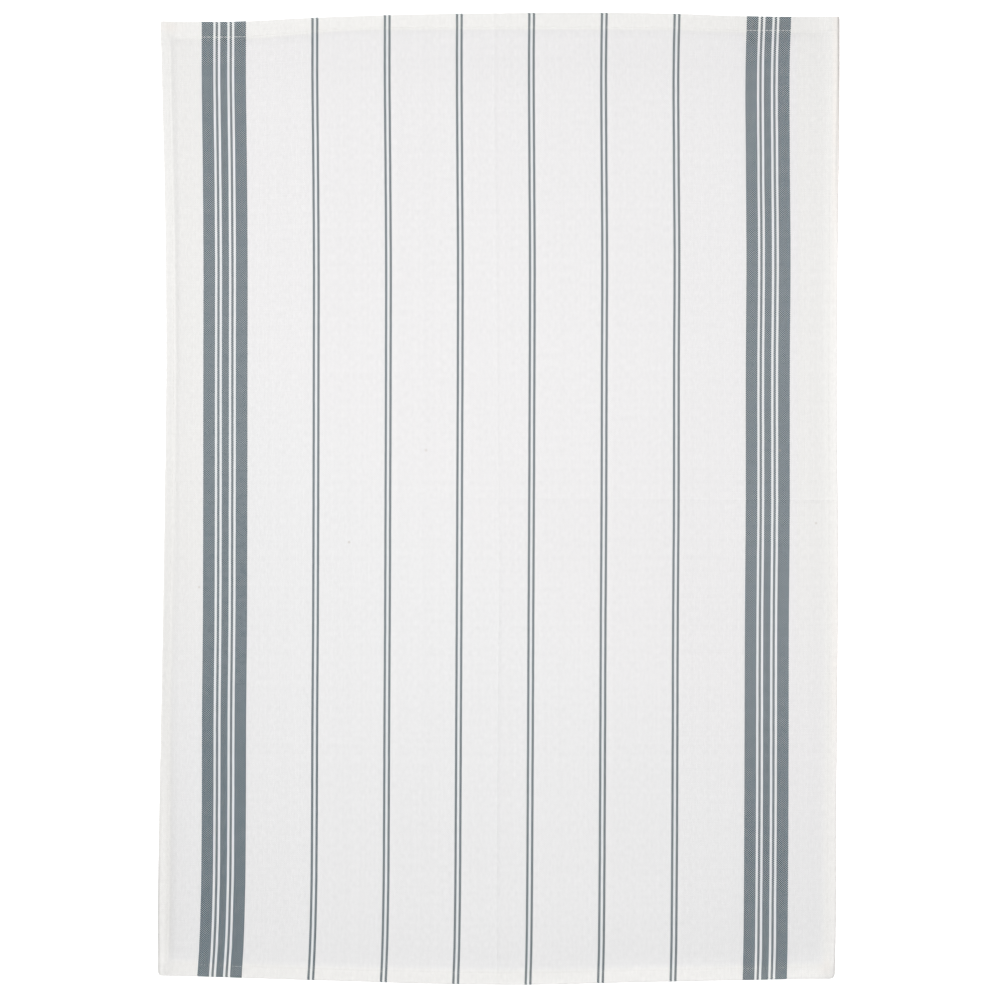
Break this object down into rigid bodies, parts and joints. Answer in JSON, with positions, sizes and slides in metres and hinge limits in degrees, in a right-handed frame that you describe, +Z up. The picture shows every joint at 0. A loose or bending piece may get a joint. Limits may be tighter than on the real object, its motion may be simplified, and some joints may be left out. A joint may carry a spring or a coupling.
{
  "type": "tea towel",
  "caption": "Flat rectangular woven cotton tea towel with narrow turned hems on all sides, slate stripes running lengthwise and a soft pressed cross fold.",
  "frame": {"origin": "middle of the towel's outline, in the flat plane that it rests on", "axes": "+X across the stripes, +Y along the stripes (the long way), +Z up out of the cloth's upper side"},
  "size_m": [0.495, 0.705, 0.0035],
  "materials": {
    "cotton": "matt plain-woven cotton"
  },
  "bodies": {
    "root": {"tea_towel": "cotton"}
  },
  "joints": []
}
